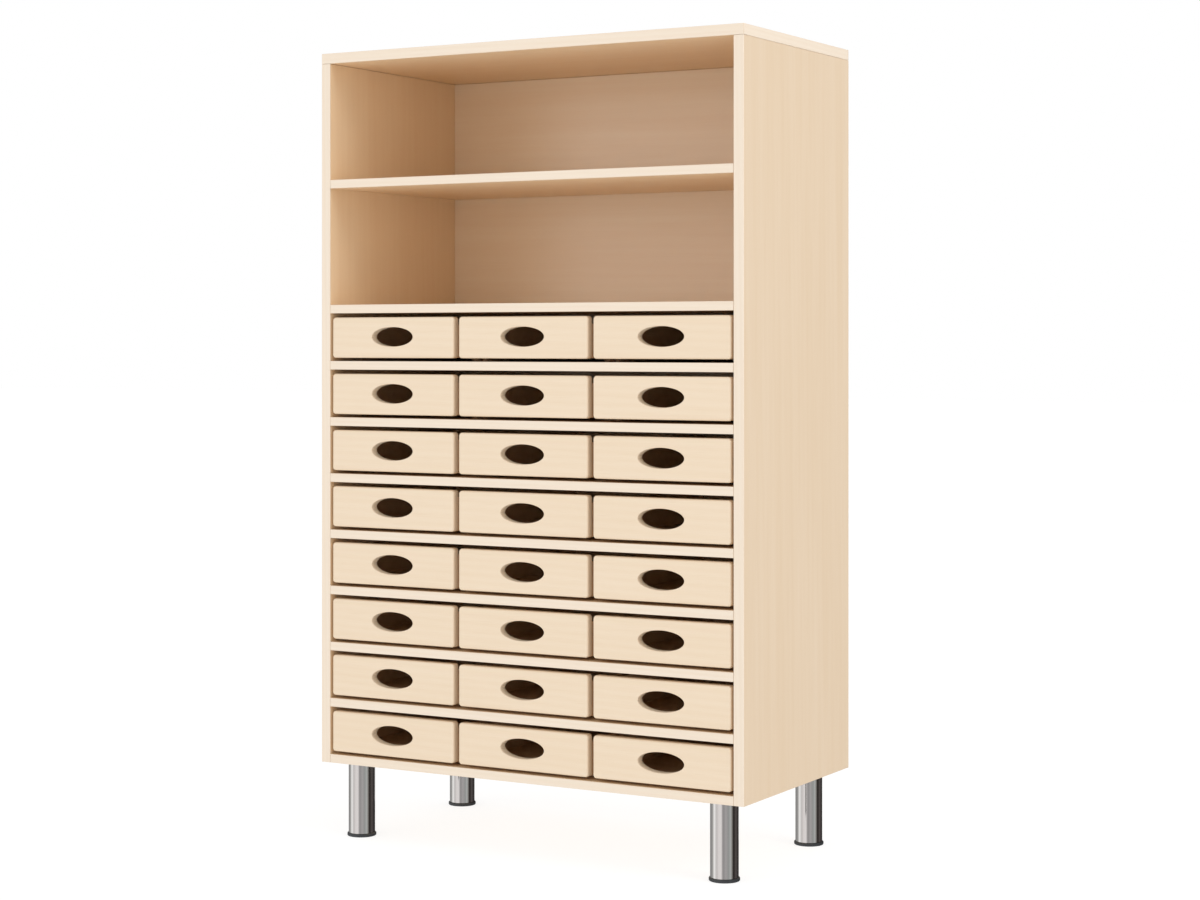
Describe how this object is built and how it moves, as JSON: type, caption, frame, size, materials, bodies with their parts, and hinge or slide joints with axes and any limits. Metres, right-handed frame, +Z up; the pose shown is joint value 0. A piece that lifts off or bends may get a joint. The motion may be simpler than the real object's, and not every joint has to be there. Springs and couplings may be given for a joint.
{
  "type": "tray storage cabinet",
  "caption": "Wooden cabinet on round steel legs, with open shelves above rows of pull-out trays that have oval finger holes.",
  "frame": {"origin": "on the floor, under the middle of the carcass", "axes": "+Z up, the open front faces -Y, +X to the right as seen from the front"},
  "size_m": [0.83, 0.41, 1.3802],
  "materials": {
    "birch_laminate": "satin laminated board",
    "solid_birch": "clear matt lacquer",
    "beech_dowel": "raw, fluted",
    "polished_steel": "polished",
    "zinc_plated_steel": "zinc plated",
    "black_plastic": "moulded"
  },
  "bodies": {
    "carcass": {"top_panel": "birch_laminate", "bottom_panel": "birch_laminate", "left_side_panel": "birch_laminate", "right_side_panel": "birch_laminate", "back_panel": "birch_laminate", "open_shelf_1": "birch_laminate", "tray_shelf_1": "birch_laminate", "tray_shelf_2": "birch_laminate", "tray_shelf_3": "birch_laminate", "tray_shelf_4": "birch_laminate", "tray_shelf_5": "birch_laminate", "tray_shelf_6": "birch_laminate", "tray_shelf_7": "birch_laminate", "tray_shelf_8": "birch_laminate", "top_dowel_left_front": "beech_dowel", "top_dowel_left_rear": "beech_dowel", "top_dowel_right_front": "beech_dowel", "top_dowel_right_rear": "beech_dowel", "leg_tube_front_left": "polished_steel", "leg_plug_front_left": "zinc_plated_steel", "leg_bolt_front_left": "zinc_plated_steel", "leg_foot_front_left": "black_plastic", "leg_tube_front_right": "polished_steel", "leg_plug_front_right": "zinc_plated_steel", "leg_bolt_front_right": "zinc_plated_steel", "leg_foot_front_right": "black_plastic", "leg_tube_rear_left": "polished_steel", "leg_plug_rear_left": "zinc_plated_steel", "leg_bolt_rear_left": "zinc_plated_steel", "leg_foot_rear_left": "black_plastic", "leg_tube_rear_right": "polished_steel", "leg_plug_rear_right": "zinc_plated_steel", "leg_bolt_rear_right": "zinc_plated_steel", "leg_foot_rear_right": "black_plastic"},
    "tray_r1_c1": {"tray_r1_c1": "solid_birch"},
    "tray_r1_c2": {"tray_r1_c2": "solid_birch"},
    "tray_r1_c3": {"tray_r1_c3": "solid_birch"},
    "tray_r2_c1": {"tray_r2_c1": "solid_birch"},
    "tray_r2_c2": {"tray_r2_c2": "solid_birch"},
    "tray_r2_c3": {"tray_r2_c3": "solid_birch"},
    "tray_r3_c1": {"tray_r3_c1": "solid_birch"},
    "tray_r3_c2": {"tray_r3_c2": "solid_birch"},
    "tray_r3_c3": {"tray_r3_c3": "solid_birch"},
    "tray_r4_c1": {"tray_r4_c1": "solid_birch"},
    "tray_r4_c2": {"tray_r4_c2": "solid_birch"},
    "tray_r4_c3": {"tray_r4_c3": "solid_birch"},
    "tray_r5_c1": {"tray_r5_c1": "solid_birch"},
    "tray_r5_c2": {"tray_r5_c2": "solid_birch"},
    "tray_r5_c3": {"tray_r5_c3": "solid_birch"},
    "tray_r6_c1": {"tray_r6_c1": "solid_birch"},
    "tray_r6_c2": {"tray_r6_c2": "solid_birch"},
    "tray_r6_c3": {"tray_r6_c3": "solid_birch"},
    "tray_r7_c1": {"tray_r7_c1": "solid_birch"},
    "tray_r7_c2": {"tray_r7_c2": "solid_birch"},
    "tray_r7_c3": {"tray_r7_c3": "solid_birch"},
    "tray_r8_c1": {"tray_r8_c1": "solid_birch"},
    "tray_r8_c2": {"tray_r8_c2": "solid_birch"},
    "tray_r8_c3": {"tray_r8_c3": "solid_birch"}
  },
  "joints": [
    {"name": "tray_r1_c1_slide", "type": "slide", "parent": "carcass", "child": "tray_r1_c1", "axis": [0, -1, 0], "range_m": [0, 0.39]},
    {"name": "tray_r1_c2_slide", "type": "slide", "parent": "carcass", "child": "tray_r1_c2", "axis": [0, -1, 0], "range_m": [0, 0.39]},
    {"name": "tray_r1_c3_slide", "type": "slide", "parent": "carcass", "child": "tray_r1_c3", "axis": [0, -1, 0], "range_m": [0, 0.39]},
    {"name": "tray_r2_c1_slide", "type": "slide", "parent": "carcass", "child": "tray_r2_c1", "axis": [0, -1, 0], "range_m": [0, 0.39]},
    {"name": "tray_r2_c2_slide", "type": "slide", "parent": "carcass", "child": "tray_r2_c2", "axis": [0, -1, 0], "range_m": [0, 0.39]},
    {"name": "tray_r2_c3_slide", "type": "slide", "parent": "carcass", "child": "tray_r2_c3", "axis": [0, -1, 0], "range_m": [0, 0.39]},
    {"name": "tray_r3_c1_slide", "type": "slide", "parent": "carcass", "child": "tray_r3_c1", "axis": [0, -1, 0], "range_m": [0, 0.39]},
    {"name": "tray_r3_c2_slide", "type": "slide", "parent": "carcass", "child": "tray_r3_c2", "axis": [0, -1, 0], "range_m": [0, 0.39]},
    {"name": "tray_r3_c3_slide", "type": "slide", "parent": "carcass", "child": "tray_r3_c3", "axis": [0, -1, 0], "range_m": [0, 0.39]},
    {"name": "tray_r4_c1_slide", "type": "slide", "parent": "carcass", "child": "tray_r4_c1", "axis": [0, -1, 0], "range_m": [0, 0.39]},
    {"name": "tray_r4_c2_slide", "type": "slide", "parent": "carcass", "child": "tray_r4_c2", "axis": [0, -1, 0], "range_m": [0, 0.39]},
    {"name": "tray_r4_c3_slide", "type": "slide", "parent": "carcass", "child": "tray_r4_c3", "axis": [0, -1, 0], "range_m": [0, 0.39]},
    {"name": "tray_r5_c1_slide", "type": "slide", "parent": "carcass", "child": "tray_r5_c1", "axis": [0, -1, 0], "range_m": [0, 0.39]},
    {"name": "tray_r5_c2_slide", "type": "slide", "parent": "carcass", "child": "tray_r5_c2", "axis": [0, -1, 0], "range_m": [0, 0.39]},
    {"name": "tray_r5_c3_slide", "type": "slide", "parent": "carcass", "child": "tray_r5_c3", "axis": [0, -1, 0], "range_m": [0, 0.39]},
    {"name": "tray_r6_c1_slide", "type": "slide", "parent": "carcass", "child": "tray_r6_c1", "axis": [0, -1, 0], "range_m": [0, 0.39]},
    {"name": "tray_r6_c2_slide", "type": "slide", "parent": "carcass", "child": "tray_r6_c2", "axis": [0, -1, 0], "range_m": [0, 0.39]},
    {"name": "tray_r6_c3_slide", "type": "slide", "parent": "carcass", "child": "tray_r6_c3", "axis": [0, -1, 0], "range_m": [0, 0.39]},
    {"name": "tray_r7_c1_slide", "type": "slide", "parent": "carcass", "child": "tray_r7_c1", "axis": [0, -1, 0], "range_m": [0, 0.39]},
    {"name": "tray_r7_c2_slide", "type": "slide", "parent": "carcass", "child": "tray_r7_c2", "axis": [0, -1, 0], "range_m": [0, 0.39]},
    {"name": "tray_r7_c3_slide", "type": "slide", "parent": "carcass", "child": "tray_r7_c3", "axis": [0, -1, 0], "range_m": [0, 0.39]},
    {"name": "tray_r8_c1_slide", "type": "slide", "parent": "carcass", "child": "tray_r8_c1", "axis": [0, -1, 0], "range_m": [0, 0.39]},
    {"name": "tray_r8_c2_slide", "type": "slide", "parent": "carcass", "child": "tray_r8_c2", "axis": [0, -1, 0], "range_m": [0, 0.39]},
    {"name": "tray_r8_c3_slide", "type": "slide", "parent": "carcass", "child": "tray_r8_c3", "axis": [0, -1, 0], "range_m": [0, 0.39]}
  ]
}
